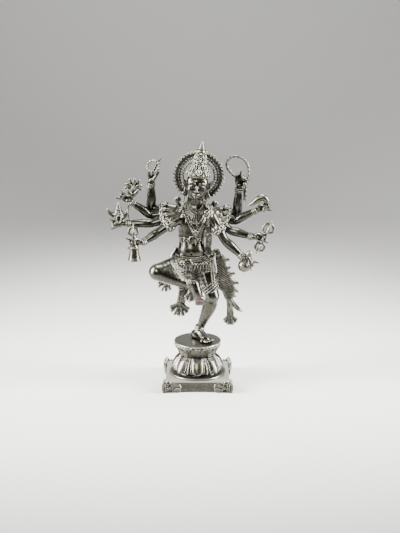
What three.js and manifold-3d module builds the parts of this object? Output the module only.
// A cast bronze Shiva with eight arms, dancing on one foot on a lotus, with an openwork halo,
// on a square plinth with scrolled corner brackets.
// Millimetres, +Z up, +X to the viewer's right, +Y away from the viewer.
// The origin is the middle of the plinth's underside.

import * as THREE from 'three';
import { mergeVertices } from 'three/addons/utils/BufferGeometryUtils.js';
import Module from 'manifold-3d';

// Plinth
const PLINTH_SIDE = 128;
const PLINTH_HEIGHT = 21;
const BRACKET_LENGTH = 37;
const BRACKET_PROUD = 5.5;
const SCROLL_RADIUS = 8;
const HORN_HEIGHT = 9;

// Lotus pedestal
const FOOT_PLATE_RADIUS = 57;
const FOOT_PLATE_HEIGHT = 4;
const LOTUS_HEIGHT = 37;
const LOTUS_FOOT_RADIUS = 49;
const NECK_RADIUS = 35;
const CUP_HEIGHT = 25.7;
const CUP_RADIUS = 46;
const CUP_LIP = 3;
const LIP_RISE = 1;
const LOTUS_PETALS = 8;
const PETAL_DEPTH = 6;
const CUP_PETAL_DEPTH = 3;
const PETAL_TIP_RISE = 5;

// Figure, with its pose and carving in hundredths of this height
const FIGURE_HEIGHT = 406;

// Halo
const HALO_RADIUS = 43;
const HALO_RIM = 3.5;
const HALO_LACE = 8;
const HALO_THICKNESS = 3.2;
const HALO_FLAME = 8;
const HALO_FLAMES = 24;
const HALO_WINDOWS = 12;
const HALO_SPOKE = 2.6;
const HALO_BAR = 9;

// Castings that touch keep this gap
const GAP = 0.3;

// Sash ends, skin and toes, in hundredths of the figure's height
const FAN_THICKNESS = 0.9;
const SKIN_THICKNESS = 1.2;
const TOE_WIDTH = 1.1;

const wasm = await Module();
wasm.setup();

const PEDESTAL_BOTTOM = PLINTH_HEIGHT + GAP;
const LOTUS_BOTTOM = PEDESTAL_BOTTOM + FOOT_PLATE_HEIGHT;
const CUP_BOTTOM = LOTUS_BOTTOM + LOTUS_HEIGHT;
const PEDESTAL_TOP = CUP_BOTTOM + CUP_HEIGHT;
const SOLE = PEDESTAL_TOP + GAP;
const UNIT = FIGURE_HEIGHT / 100;

const DEEP = new THREE.Vector3(0, 1, 0);
const UP = new THREE.Vector3(0, 0, 1);

const bronze = (color, roughness) => new THREE.MeshStandardMaterial({ color, roughness, metalness: 1 });
const vector = (x, y, z) => new THREE.Vector3(x, y, z);

// A point of the figure, in hundredths of its height above the sole
const at = (x, y, z) => vector(x * UNIT, y * UNIT, SOLE + z * UNIT);
const places = (...points) => points.map((point) => at(...point));

// Makes a solid of a closed geometry, with its seams welded and its collapsed faces dropped
function solid(geometry) {
  const bare = geometry.clone();
  bare.deleteAttribute('normal');
  bare.deleteAttribute('uv');
  const welded = mergeVertices(bare);
  const corners = welded.index.array;
  const faces = [];
  for (let i = 0; i < corners.length; i += 3) {
    const [a, b, c] = [corners[i], corners[i + 1], corners[i + 2]];
    if (a !== b && b !== c && c !== a) faces.push(a, b, c);
  }
  return new wasm.Manifold(new wasm.Mesh({
    numProp: 3,
    vertProperties: new Float32Array(welded.attributes.position.array),
    triVerts: new Uint32Array(faces),
  }));
}

const fuse = (geometries) => wasm.Manifold.union(geometries.map(solid));

function namedMesh(name, body, material) {
  const { vertProperties, triVerts } = body.getMesh();
  const geometry = new THREE.BufferGeometry();
  geometry.setAttribute('position', new THREE.BufferAttribute(new Float32Array(vertProperties), 3));
  geometry.setIndex(new THREE.BufferAttribute(new Uint32Array(triVerts), 1));
  geometry.computeVertexNormals();
  const mesh = new THREE.Mesh(geometry, material);
  mesh.name = name;
  return mesh;
}

// Puts a geometry that stands along +Z at a place, turned to point along a direction
function placed(geometry, place, direction = UP, scale = [1, 1, 1]) {
  const turn = new THREE.Quaternion().setFromUnitVectors(UP, direction.clone().normalize());
  return geometry.applyMatrix4(new THREE.Matrix4().compose(place, turn, vector(...scale)));
}

// A turned piece, from pairs of radius and height, standing along +Z
function turned(profile, sides, unit = 1) {
  const points = profile.map(([radius, height]) => new THREE.Vector2(radius * unit, height * unit));
  return new THREE.LatheGeometry(points, sides).rotateX(Math.PI / 2);
}

// A limb through joints. Each row is a cross-section: how many joints along, half-width and half-depth
function limb(joints, rows, { sides = 6, facing = DEEP, unit = UNIT } = {}) {
  const route = new THREE.CatmullRomCurve3(joints);
  const steps = rows.length - 1;
  const tube = new THREE.CylinderGeometry(1, 1, 1, sides, steps);
  const spot = tube.attributes.position;
  for (let i = 0; i < spot.count; i += 1) {
    const [joint, width, depth = width] = rows[Math.round((spot.getY(i) + 0.5) * steps)];
    const t = joint / (joints.length - 1);
    const along = route.getTangent(t);
    const side = facing.clone().cross(along).normalize();
    const front = side.clone().cross(along);
    const place = route.getPoint(t)
      .addScaledVector(side, spot.getX(i) * width * unit)
      .addScaledVector(front, spot.getZ(i) * depth * unit);
    spot.setXYZ(i, place.x, place.y, place.z);
  }
  return tube;
}

function ball(place, radii, sides = 5, rows = 3) {
  const scale = radii.map((radius) => radius * UNIT);
  return placed(new THREE.SphereGeometry(1, sides, rows).rotateX(Math.PI / 2), place, UP, scale);
}

function ring(place, direction, radius, thick, { sides = 8, flat = 1, section = 4 } = {}) {
  const hoop = new THREE.TorusGeometry(radius * UNIT, thick * UNIT, section, sides);
  return placed(hoop, place, direction, [1, flat, 1]);
}

// A pointed leaf or flame of metal
function spike(place, direction, length, width, sides = 4) {
  const cone = new THREE.ConeGeometry(width * UNIT, length * UNIT, sides).rotateX(Math.PI / 2);
  return placed(cone.translate(0, 0, (length * UNIT) / 2), place, direction);
}

// The flared end of a sash: a thin plate in the front plane that opens from a place about a direction,
// cut into fingers of cloth
function fan(place, lean, spread, count, length) {
  const outline = new THREE.Shape([new THREE.Vector2(0, 0)]);
  for (let i = 0; i <= count * 2; i += 1) {
    const angle = lean + spread * (i / (count * 2) - 0.5);
    const reach = length * UNIT * (i % 2 ? 1 : 0.7);
    outline.lineTo(reach * Math.sin(angle), -reach * Math.cos(angle));
  }
  const plate = new THREE.ExtrudeGeometry(outline, { depth: FAN_THICKNESS * UNIT, bevelEnabled: false });
  return plate.rotateX(Math.PI / 2).translate(place.x, place.y + (FAN_THICKNESS * UNIT) / 2, place.z);
}

// Plinth: a square block, each corner clasped by a bracket with scalloped ends, scrolls and a horn
function bracketPlate() {
  const middle = PLINTH_HEIGHT / 2;
  const scallops = 4;
  const outline = new THREE.Shape();
  outline.moveTo(0, 0);
  for (let i = 0; i <= scallops; i += 1) {
    const turn = (Math.PI * i) / scallops - Math.PI / 2;
    const reach = i % 2 ? 1 : 0.45;
    outline.lineTo(BRACKET_LENGTH - middle * (1 - reach * Math.cos(turn)), middle + middle * Math.sin(turn));
  }
  outline.lineTo(0, PLINTH_HEIGHT);
  return new THREE.ExtrudeGeometry(outline, { depth: BRACKET_PROUD * 2, bevelEnabled: false })
    .rotateX(Math.PI / 2)
    .translate(0, BRACKET_PROUD, -middle);
}

function cornerScroll() {
  const boss = new THREE.SphereGeometry(SCROLL_RADIUS, 6, 4).scale(1, 0.3, 1);
  return boss.translate(BRACKET_LENGTH - PLINTH_HEIGHT / 2 - SCROLL_RADIUS, -BRACKET_PROUD, 0);
}

function buildPlinth() {
  const half = PLINTH_SIDE / 2;
  const middle = PLINTH_HEIGHT / 2;
  const pieces = [new THREE.BoxGeometry(PLINTH_SIDE, PLINTH_SIDE, PLINTH_HEIGHT).translate(0, 0, middle)];
  for (let face = 0; face < 4; face += 1) {
    for (const end of [0, 1]) {
      for (const piece of [bracketPlate(), cornerScroll()]) {
        piece.translate(-half - BRACKET_PROUD, 0, 0).rotateY(end * Math.PI);
        pieces.push(piece.translate(0, -half, middle).rotateZ((face * Math.PI) / 2));
      }
    }
    const horn = new THREE.ConeGeometry(BRACKET_PROUD, HORN_HEIGHT * 2, 5).rotateX(Math.PI / 2);
    pieces.push(horn.translate(-half, -half, PLINTH_HEIGHT).rotateZ((face * Math.PI) / 2));
  }
  return fuse(pieces);
}

// Lotus pedestal, turned in one: foot plate, a bell of downturned petals, and a cup with upright petals
const PEDESTAL_SIDES = LOTUS_PETALS * 6;

// How full a petal is at a turn: a broad one at each whole share of the circle, a narrow one between
function petalSwell(turn) {
  const share = ((turn * LOTUS_PETALS) / (2 * Math.PI)) % 1;
  const aside = Math.abs(share - Math.round(share));
  return aside < 1 / 3 ? Math.sqrt(1 - 9 * aside * aside) : 0.6 * Math.sin((aside - 1 / 3) * 3 * Math.PI);
}

function buildPedestal() {
  const lip = PEDESTAL_TOP + LIP_RISE;
  const bell = LOTUS_FOOT_RADIUS - NECK_RADIUS;
  const cup = CUP_RADIUS - NECK_RADIUS;
  const tips = LOTUS_BOTTOM + FOOT_PLATE_HEIGHT / 3;
  const rows = [
    [0, PEDESTAL_BOTTOM, 0],
    [FOOT_PLATE_RADIUS, PEDESTAL_BOTTOM, 0],
    [FOOT_PLATE_RADIUS, LOTUS_BOTTOM - FOOT_PLATE_HEIGHT / 4, 0],
    [LOTUS_FOOT_RADIUS, LOTUS_BOTTOM, 0],
    [LOTUS_FOOT_RADIUS, tips, PETAL_DEPTH],
    [NECK_RADIUS + bell * 0.65, LOTUS_BOTTOM + LOTUS_HEIGHT * 0.55, PETAL_DEPTH],
    [NECK_RADIUS, CUP_BOTTOM, PETAL_DEPTH * 0.3],
    [NECK_RADIUS + cup * 0.3, CUP_BOTTOM + CUP_HEIGHT * 0.3, CUP_PETAL_DEPTH],
    [CUP_RADIUS - CUP_LIP, PEDESTAL_TOP - CUP_LIP - CUP_PETAL_DEPTH, CUP_PETAL_DEPTH],
    [CUP_RADIUS, PEDESTAL_TOP - CUP_LIP, 0],
    [CUP_RADIUS, lip, 0],
    [CUP_RADIUS - CUP_LIP, PEDESTAL_TOP, 0],
    [0, PEDESTAL_TOP, 0],
  ];
  const piece = turned(rows, PEDESTAL_SIDES);
  const spot = piece.attributes.position;
  for (let i = 0; i < spot.count; i += 1) {
    const depth = rows[i % rows.length][2];
    const turn = Math.atan2(spot.getX(i), spot.getY(i)) + 2 * Math.PI;
    const swell = petalSwell(turn);
    const lift = rows[i % rows.length][1] === tips ? PETAL_TIP_RISE * (1 - swell) : 0;
    const reach = Math.hypot(spot.getX(i), spot.getY(i)) + depth * (swell - 0.3) - lift * 0.4;
    spot.setXYZ(i, reach * Math.sin(turn), reach * Math.cos(turn), spot.getZ(i) + lift);
  }
  return solid(piece);
}

// Halo: flames round a rim, a band of windows between two rims, and an upright bar that meets the head's lug
const HALO_CENTRE = at(0.6, 6.6, 82.3);
const LUG_RADIUS = 1.6;
const LUG_LENGTH = 5;

function haloWindow(from, to, inner, outer) {
  const hole = new THREE.Path();
  hole.moveTo(outer * Math.cos(from), outer * Math.sin(from));
  hole.lineTo(outer * Math.cos(to), outer * Math.sin(to));
  hole.lineTo(inner * Math.cos(to), inner * Math.sin(to));
  hole.lineTo(inner * Math.cos(from), inner * Math.sin(from));
  return hole;
}

function buildHalo() {
  const outline = new THREE.Shape();
  for (let i = 0; i < HALO_FLAMES * 2; i += 1) {
    const turn = (Math.PI * i) / HALO_FLAMES;
    const reach = HALO_RADIUS + (i % 2 ? HALO_FLAME : 0);
    const [x, z] = [reach * Math.cos(turn), reach * Math.sin(turn)];
    if (i === 0) outline.moveTo(x, z);
    else outline.lineTo(x, z);
  }
  const outer = HALO_RADIUS - HALO_RIM;
  const inner = outer - HALO_LACE;
  for (let i = 0; i < HALO_WINDOWS; i += 1) {
    const from = (2 * Math.PI * i) / HALO_WINDOWS + HALO_SPOKE / outer / 2;
    const to = (2 * Math.PI * (i + 1)) / HALO_WINDOWS - HALO_SPOKE / outer / 2;
    outline.holes.push(haloWindow(from, to, inner, outer));
  }
  const open = inner - HALO_RIM * 0.8;
  for (const side of [1, -1]) {
    const hole = new THREE.Path();
    const reach = Math.acos(HALO_BAR / 2 / open);
    const corners = 8;
    for (let i = 0; i <= corners; i += 1) {
      const turn = reach * ((2 * i) / corners - 1);
      const [x, z] = [side * open * Math.cos(turn), open * Math.sin(turn)];
      if (i === 0) hole.moveTo(x, z);
      else hole.lineTo(x, z);
    }
    outline.holes.push(hole);
  }
  const plate = new THREE.ExtrudeGeometry(outline, { depth: HALO_THICKNESS, bevelEnabled: false })
    .rotateX(Math.PI / 2)
    .translate(HALO_CENTRE.x, HALO_CENTRE.y + HALO_THICKNESS, HALO_CENTRE.z);
  return solid(plate);
}

// Five toes, cut from one plate that lies across the end of a foot
function toes(place, forward) {
  const width = TOE_WIDTH * UNIT;
  const count = 5;
  const outline = new THREE.Shape([new THREE.Vector2((-count / 2) * width, -2 * width)]);
  for (let i = 0; i < count; i += 1) {
    const left = (i - count / 2) * width;
    const length = (2.5 - 0.3 * Math.abs(i - 1)) * width;
    outline.lineTo(left, 0);
    outline.lineTo(left + width * 0.2, length);
    outline.lineTo(left + width * 0.8, length);
  }
  outline.lineTo((count / 2) * width, 0);
  outline.lineTo((count / 2) * width, -2 * width);
  const plate = new THREE.ExtrudeGeometry(outline, { depth: width, bevelEnabled: false });
  const along = forward.clone().normalize();
  const across = (along.z ? DEEP : UP).clone().cross(along).negate();
  const top = across.clone().cross(along);
  return plate.applyMatrix4(new THREE.Matrix4().makeBasis(across, along, top).setPosition(place));
}

// Trunk and legs. The trunk carries a chest band. The leg on the viewer's right stands with its knee turned
// out and a band of skin round it; the other thigh, with the skirt's hem on it, is raised
function body() {
  const lug = new THREE.CylinderGeometry(LUG_RADIUS * UNIT, LUG_RADIUS * UNIT, LUG_LENGTH * UNIT, 6)
    .translate(HALO_CENTRE.x, HALO_CENTRE.y - GAP - (LUG_LENGTH / 2) * UNIT, HALO_CENTRE.z);
  return [
    limb(
      places([-2.2, 0.5, 37], [-2.9, 0, 50.2], [-2.2, 0.4, 60], [-0.8, 1, 65.5], [-0.2, 1, 73]),
      [
        [0, 6.6, 4.6], [0.4, 7.6, 5], [1, 6, 4.4], [1.24, 6.4, 4.6], [1.27, 7.1, 5.2], [1.4, 7.2, 5.3],
        [1.43, 6.5, 4.8], [2, 7.6, 4.9], [2.7, 9.2, 4.4], [3.1, 7, 3.6], [3.3, 3, 2.9], [4, 2.7, 2.7],
      ],
      { sides: 8 },
    ),
    ball(at(-2.8, -1.8, 46.8), [5.3, 3.7, 4], 7, 4),
    limb(
      places([-4.6, -0.2, 40], [-12.6, -6.2, 40.4], [-21.8, -12.4, 39.2]),
      [[0, 5.6], [0.55, 5.9], [0.6, 5], [1.2, 4.5], [1.8, 3.4], [2, 1.8]],
      { sides: 8 },
    ),
    limb(
      places(
        [-22.2, -12, 39.2], [-13, -11, 37.2], [-4.2, -10, 32.8], [-1.2, -10.5, 28.4], [1.7, -10.9, 23.8],
      ),
      [
        [0, 1.9], [0.25, 3.5], [1.2, 3.2], [1.8, 1.8], [1.85, 2.4], [2.05, 2.4], [2.1, 1.9], [3, 2.4, 1.9],
        [4, 2.7, 1],
      ],
      { sides: 7 },
    ),
    toes(at(1.2, -10.4, 24.4), vector(0.42, 0, -0.9)),
    limb(
      places(
        [2.6, -0.2, 40], [5.4, -1.8, 32], [7.4, -3.5, 23.6], [4.7, -1.4, 15.5], [0.9, 1.1, 5], [0.7, 1.5, 1],
      ),
      [
        [0, 5.2], [0.9, 4.8], [1, 5.5], [1.5, 4.9], [1.55, 4.1], [2, 3.7], [2.6, 3.8], [3.3, 3], [3.85, 1.9],
        [3.9, 2.4], [4.05, 2.4], [4.1, 1.9], [5, 2.1],
      ],
      { sides: 7 },
    ),
    limb(
      places([-2.1, 5.6, 1.4], [1, 1.8, 2.2], [4.6, -2.9, 0.9]),
      [[0, 1.1, 1.2], [0.3, 1.8], [1.2, 2.2, 2], [2, 2.8, 1]],
      { facing: UP },
    ),
    toes(at(4.2, -2.4, 0), vector(0.6, -0.8, 0)),
    lug,
  ];
}

// Head, leaning to the viewer's right, in a frame of its own
const HEAD_LEAN = THREE.MathUtils.degToRad(7);
const HEAD_UP = vector(Math.sin(HEAD_LEAN), 0, Math.cos(HEAD_LEAN));
const HEAD_ACROSS = vector(Math.cos(HEAD_LEAN), 0, -Math.sin(HEAD_LEAN));

const onHead = (x, y, z) => at(-0.4, -0.3, 77.6)
  .addScaledVector(HEAD_ACROSS, x * UNIT)
  .addScaledVector(DEEP, y * UNIT)
  .addScaledVector(HEAD_UP, z * UNIT);

function head() {
  const pieces = [
    limb(
      [onHead(0, -0.9, -5.3), onHead(0, 0, 1.5), onHead(0, 0.3, 5.4)],
      [[0, 1.8, 2], [0.25, 3.6, 3.4], [0.6, 5, 4.9], [1.1, 5.3, 5.3], [2, 4.6, 4.8]],
      { sides: 10 },
    ),
    spike(onHead(0, -5.5, -1.6), vector(0.12, 0.25, 1), 3.6, 0.9, 3),
    ball(onHead(0, -4.5, -2.9), [1.5, 0.8, 0.6]),
    limb(
      [onHead(0, 4.2, 3), onHead(-0.3, 4.3, -6), onHead(-1, 4.4, -15)],
      [[0, 4.6, 1.7], [1, 4.6, 1.5], [2, 2.2, 0.8]],
      { sides: 5 },
    ),
  ];
  for (const side of [1, -1]) {
    pieces.push(
      ball(onHead(side * 2.1, -4.3, 0.4), [1.4, 0.8, 0.6]),
      limb(
        [[5.3, 0.6, 2], [5.6, 0.3, -3.6], [6.4, 1, -7.4], [7.6, 0.4, -12]]
          .map(([x, y, z]) => onHead(side * x, y, z)),
        [[0, 0.6, 1], [0.6, 0.6, 1.3], [1, 1.1, 1.1], [1.4, 0.8], [3, 1.2]],
        { sides: 4 },
      ),
      spike(onHead(side * 5.7, 0.4, 1.4), vector(side * 0.6, 0, 1), 5, 1.1),
      spike(onHead(side * 8, 1, -11.4), vector(side * 0.4, 0.1, 1), 7, 1.4),
    );
  }
  return [...pieces, ...crown()];
}

// Crown: a diadem with upright leaves, and a tall cone with a jewel and a point
function crown() {
  const sides = 9;
  const cone = turned([
    [0, 0], [5.4, 0], [5.8, 1.2], [5, 2.6], [4.8, 6.6], [4.1, 9.4], [3.1, 12], [2.6, 12.6], [2.9, 14.2],
    [1.9, 15.6], [0, 19.2],
  ], sides, UNIT).rotateZ(Math.PI / sides);
  const pieces = [placed(cone, onHead(0, 0.3, 3.2), HEAD_UP)];
  const leaves = 5;
  for (let i = 0; i < leaves; i += 1) {
    const turn = ((i / (leaves - 1)) * 2 - 1) * 1.5;
    const place = onHead(5.2 * Math.sin(turn), 0.3 - 5.2 * Math.cos(turn), 3.6);
    pieces.push(spike(place, HEAD_UP, 5.8 - Math.abs(turn), 1.6));
  }
  return pieces;
}

// Arms: four to a side, fanned from the shoulder, from the top one down
const ARMS = [
  { root: [-7, 2.6, 65.8], elbow: [-22.4, 4.4, 66.6], wrist: [-22.5, 3.4, 78.6], palm: [-22.3, 3, 82.2] },
  { root: [-7, 2.2, 65], elbow: [-22.7, 2, 63.6], wrist: [-31.8, 0, 70.4], palm: [-34.6, -1, 72.6] },
  { root: [-7, 1, 64.4], elbow: [-22.1, -1, 60.5], wrist: [-33.7, -3, 60.7], palm: [-37.6, -3.4, 60.6] },
  { root: [-7, -0.2, 64], elbow: [-18.9, -3, 57], wrist: [-25.8, -7.9, 52.9], palm: [-29.4, -9.1, 52.8] },
  { root: [7, 2.6, 65.2], elbow: [19.3, 4.4, 64.2], wrist: [20.1, 3.4, 76.1], palm: [20.6, 3, 79.9] },
  { root: [7, 2.2, 64.6], elbow: [18.1, 2, 60.7], wrist: [28, 0, 66.4], palm: [31.6, -1, 67.8] },
  { root: [7, 1, 64], elbow: [15.6, -1, 57.2], wrist: [25.8, -3.4, 54.4], palm: [30, -4.2, 54.2] },
  { root: [7, -0.2, 63.6], elbow: [13, -3, 53.4], wrist: [21.4, -7.2, 45.7], palm: [24.2, -8.2, 43.6] },
];

// Cross-sections of an arm, with an armlet above the elbow and a bracelet at the wrist
const ARM_ROWS = [
  [0, 3], [0.5, 2.7], [0.6, 3.6], [0.7, 2.5], [1, 2.5], [1.84, 1.4], [1.92, 2.2],
  [2, 1.3, 1], [2.9, 2, 1.2], [3.9, 1.6, 0.8], [5, 1.1, 0.5],
];

// An arm and its hand, which holds with thumb and middle fingers and has its outer fingers out straight
function arm({ root, elbow, wrist, palm }) {
  const [shoulder, bend, cuff, middle] = places(root, elbow, wrist, palm);
  const reach = middle.clone().sub(cuff).normalize();
  const across = DEEP.clone().cross(reach).normalize();
  const from = (forward, aside, deep) => middle.clone()
    .addScaledVector(reach, forward * UNIT)
    .addScaledVector(across, aside * UNIT)
    .addScaledVector(DEEP, deep * UNIT);
  const joints = [shoulder, bend, cuff, middle, from(2.4, 0, -0.8), from(1.8, 0, -3)];
  const pieces = [limb(joints, ARM_ROWS, { sides: 5 })];
  for (const aside of [1, -1]) {
    const [knuckle, tip] = [from(0.6, aside * 1.1, 0), from(5.2, aside * 2.8, 0.3)];
    pieces.push(spike(knuckle, tip.sub(knuckle), 5.2, 0.85));
  }
  pieces.push(spike(from(-1.6, 1.3, -0.2), from(0, 0.3, -3.4).sub(middle), 3.6, 1));
  return pieces;
}

// What the hands hold: a rosary, a lotus, a winged conch, a bell, a noose, a horn, a thunderbolt and a pot
function rosary() {
  const beads = 9;
  const [radius, bead] = [2.86 * UNIT, 0.5 * UNIT];
  const string = new THREE.TorusGeometry(radius, bead, 3, beads * 2);
  const spot = string.attributes.position;
  for (let i = 0; i < spot.count; i += 1) {
    const turn = Math.atan2(spot.getY(i), spot.getX(i));
    const share = 0.8 + 0.35 * Math.cos(turn * beads);
    const [x, y] = [radius * Math.cos(turn), radius * Math.sin(turn)];
    spot.setXYZ(i, x + (spot.getX(i) - x) * share, y + (spot.getY(i) - y) * share, spot.getZ(i) * share);
  }
  return [placed(string, at(-21.1, 2.2, 87.2), DEEP)];
}

function lotusFlower() {
  const [base, heart] = places([-32, -1, 73.6], [-31, -0.9, 78.6]);
  const pieces = [limb(
    [...places([-33.5, -2.6, 61.4], [-34, -2, 68]), base, heart, at(-30.9, -0.9, 80)],
    [[0, 0.5], [1, 0.5], [2, 0.6], [2.4, 1.8], [3, 1.9], [4, 0.8]],
    { sides: 5 },
  )];
  const petals = 7;
  for (let i = 0; i < petals; i += 1) {
    const turn = -1.9 + (3.8 * i) / (petals - 1);
    pieces.push(spike(base.clone().lerp(heart, 0.6), vector(Math.sin(turn), -0.1, Math.cos(turn)), 6, 1.1));
  }
  return pieces;
}

function conch() {
  const middle = at(-38, -3.6, 65.6);
  const body = [[0, -5], [1.4, -3.6], [2.3, -0.6], [1.6, 1.6], [1.8, 2], [0.9, 3.6], [0, 5.8]];
  return [
    placed(turned(body, 7, UNIT), middle, UP),
    spike(middle, vector(-1, 0, 0.3), 5.2, 1.4),
    spike(middle, vector(1, 0, 0.1), 4.2, 1.2),
  ];
}

// A thunderbolt's cage: a hoop with a tip
function cage(middle, direction, radius) {
  const along = direction.clone().normalize();
  const tip = middle.clone().addScaledVector(along, radius * 0.8 * UNIT);
  return [ring(middle, DEEP, radius, 0.7), spike(tip, along, 2.6, 0.9, 3)];
}

function bell() {
  const profile = [
    [0, -6], [2.6, -7.1], [3.2, -7.1], [2.5, -4.6], [2.1, -0.8], [1.5, 0.2], [0.7, 0.3], [0.7, 5], [0, 5],
  ];
  return [
    placed(turned(profile, 7, UNIT), at(-31.2, -9.4, 51.4), vector(0.06, 0, 1)),
    ...cage(at(-30.8, -9.4, 58.2), vector(0.06, 0, 1), 2.4),
  ];
}

function noose() {
  const [centre, radius] = [vector(19.6, 2.6, 87.4), 5.8];
  const joints = [at(19.6, 3, 80.6)];
  const turns = 8;
  for (let i = 0; i <= turns; i += 1) {
    const turn = -2.35 + (4.45 * i) / turns;
    joints.push(at(centre.x + radius * Math.sin(turn), centre.y, centre.z + radius * Math.cos(turn)));
  }
  joints.push(at(22.4, 2.8, 79.8), at(22.9, 2.2, 71.6));
  const last = joints.length - 1;
  const rows = joints.slice(0, -1).map((_, i) => [i, 0.62]);
  return [limb(joints, [...rows, [last - 0.5, 0.8], [last, 0.3]], { sides: 3 })];
}

function horn() {
  return [limb(
    places(
      [32.4, -1.3, 66.8], [34.1, -1.6, 70.4], [33, -1.8, 73],
      [30.4, -1.8, 73.4], [27.4, -1.8, 71.8], [24.2, -1.8, 69.4],
    ),
    [[0, 1.1], [1, 1.4], [2, 1.7], [3, 1.6], [4, 1], [5, 0.2]],
  )];
}

function thunderbolt() {
  const [upper, lower] = places([34.4, -4.9, 58.8], [30.2, -4.9, 49.4]);
  const along = upper.clone().sub(lower);
  return [
    limb([lower, upper], [[0, 0.6], [1, 0.6]], { sides: 4 }),
    ...cage(upper, along, 2.4),
    ...cage(lower, along.negate(), 2.4),
  ];
}

function waterPot() {
  const profile = [
    [0, -3.1], [2, -2.6], [3.1, -0.8], [3, 0.8], [1.7, 2.5], [1, 3.4], [1.6, 4.6], [1.3, 6.6], [0, 8],
  ];
  return [placed(turned(profile, 8, UNIT), at(23.1, -8, 41.1), vector(0.32, -0.05, 1))];
}

// Jewellery and dress
function jewellery() {
  const pieces = [
    ring(at(-0.2, 0.5, 66.6), vector(0, -0.42, 1), 4.6, 1.3, { sides: 9, flat: 0.95, section: 3 }),
    spike(at(-1, -3.4, 64), vector(-0.12, -0.2, -1), 8.6, 2.6),
    ball(at(-2.9, -4.9, 53), [2, 0.9, 1.7]),
    ball(at(-3.6, -5.8, 43.8), [1.8, 1.1, 1.6]),
  ];
  const drops = 5;
  for (let i = 0; i < drops; i += 1) {
    const turn = (i / (drops - 1) - 0.5) * 2;
    const place = at(-2.5 + 7.8 * Math.sin(turn), -6 * Math.cos(turn), 43);
    pieces.push(spike(place, vector(0, 0, -1), 4.4, 1.2));
  }
  return pieces;
}

function skirt() {
  const pleats = 8;
  const sheet = turned([
    [0, 0], [9.4, 0.2], [9.2, 3.4], [8.1, 5.8], [8.7, 6.4], [8.6, 7.6], [7.4, 8.1], [0, 8.1],
  ], pleats * 2, UNIT);
  const spot = sheet.attributes.position;
  for (let i = 0; i < spot.count; i += 1) {
    const turn = Math.atan2(spot.getY(i), spot.getX(i));
    const share = 1 - 0.04 * Math.cos(turn * pleats);
    spot.setXY(i, spot.getX(i) * share, spot.getY(i) * share * 0.72);
  }
  return [
    placed(sheet, at(-2.1, 0.1, 36.6), vector(0.05, 0, 1)),
    limb(
      places([-1, -5, 41], [-0.6, -4.6, 35], [-2.6, -2, 28], [-3, -1, 24]),
      [[0, 2.6, 0.9], [1, 2.6, 0.8], [2, 1.8, 0.6], [3, 2, 0.5]],
      { sides: 4 },
    ),
    fan(at(-3, -1, 25.4), -0.3, 1.6, 4, 4.4),
  ];
}

function sashes() {
  const ribbon = (joints, widths) => limb(
    places(...joints),
    widths.map((width, i) => [(i * (joints.length - 1)) / (widths.length - 1), width, 0.6]),
    { sides: 4 },
  );
  return [
    ribbon([[-3, 2, 38], [-5.4, 2, 28], [-7.4, 1.4, 21], [-9, 1, 16.6]], [1.4, 1.4, 1.7, 2.4]),
    fan(at(-8.9, 1, 17.8), -0.1, 2.3, 7, 5),
    ribbon([[-8, -1.4, 37], [-13, -1.2, 33], [-16.6, -0.4, 29.4]], [1.4, 1.6, 2.4]),
    fan(at(-16, -0.4, 30.4), -0.4, 1.7, 5, 5.4),
    limb(
      places([-9, 2.6, 44.4], [-12.2, 2.6, 43.6], [-13, 2.6, 40]),
      [[0, 2, 1.2], [1, 1.9, 1.2], [2, 1, 0.8]],
    ),
    ribbon([[4.6, -2.4, 66.6], [5.2, -3.4, 60], [5.4, -3, 53], [4.8, -2.6, 44.6]], [0.8, 0.9, 0.9]),
    fan(at(5.2, -3.3, 61.4), 0.1, 0.9, 2, 4.4),
    fan(at(5.2, -2.8, 49.6), 0.1, 1, 3, 4.2),
    ribbon([[6.6, -3.6, 43.4], [8, -3.6, 38], [8.6, -3, 32.4]], [1.1, 1.3, 0.9]),
    ring(at(9.2, 0.4, 45.4), DEEP, 1.5, 0.7, { sides: 6, section: 3 }),
  ];
}

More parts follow.
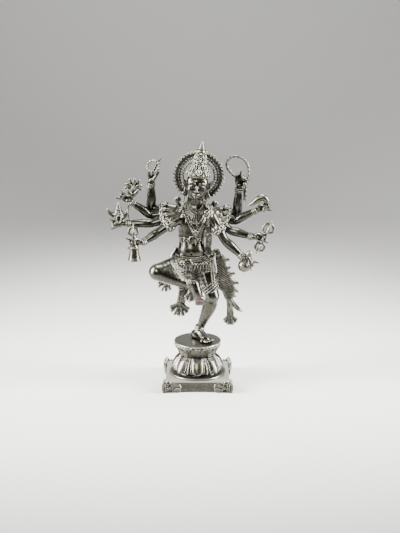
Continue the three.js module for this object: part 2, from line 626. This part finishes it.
// The openwork skin that hangs from the hip, with a spiked outer edge and a tasselled tail
function skin() {
  const edge = [[8.4, 45], [10, 46.4]];
  const spikes = 5;
  for (let i = 0; i < spikes; i += 1) {
    const [x, z] = [11.8 + 1.5 * i, 42.8 - 4.2 * i];
    edge.push([x + 0.2, z], [x + 3.2, z - 0.4], [x + 1, z - 2.2]);
  }
  edge.push([15.4, 20.4], [13.4, 25], [9.6, 24.6], [8.4, 27.6], [10.6, 33.6], [10.2, 40]);
  const outline = new THREE.Shape(edge.map(([x, z]) => new THREE.Vector2(x * UNIT, z * UNIT)));
  const panel = new THREE.ExtrudeGeometry(outline, { depth: SKIN_THICKNESS * UNIT, bevelEnabled: false })
    .rotateX(Math.PI / 2)
    .translate(0, 1.4 * UNIT, SOLE);
  return [
    panel,
    limb(
      places([15.4, 0.8, 24], [16, 1.2, 17], [16.6, 1.4, 12]),
      [[0, 1.6, 0.6], [1, 1.2, 0.5], [2, 1.8, 0.6]],
      { sides: 4 },
    ),
    fan(at(16.6, 1.4, 13.2), 0, 1.8, 6, 4.6),
    limb(
      places([15.8, 0.8, 22], [19, 1.6, 18], [22.4, 2, 14]),
      [[0, 0.7, 0.5], [1, 1, 0.5], [2, 0.6, 0.4]],
      { sides: 4 },
    ),
  ];
}

function buildFigure() {
  const everything = fuse([
    ...body(), ...head(), ...ARMS.flatMap(arm), ...rosary(), ...lotusFlower(), ...conch(), ...bell(),
    ...noose(), ...horn(), ...thunderbolt(), ...waterPot(), ...jewellery(), ...skirt(), ...sashes(),
    ...skin(),
  ]);
  const depth = 10 * UNIT;
  const below = new THREE.BoxGeometry(PLINTH_SIDE, PLINTH_SIDE, depth).translate(0, 0, SOLE - depth / 2);
  return everything.subtract(solid(below));
}

const scene = new THREE.Group();
scene.add(namedMesh('plinth', buildPlinth(), bronze(0x4a473c, 0.4)));
scene.add(namedMesh('lotus_pedestal', buildPedestal(), bronze(0x55503f, 0.35)));
scene.add(namedMesh('figure', buildFigure(), bronze(0x4d4a3a, 0.3)));
scene.add(namedMesh('halo', buildHalo(), bronze(0x4f4b3b, 0.35)));

export default scene;
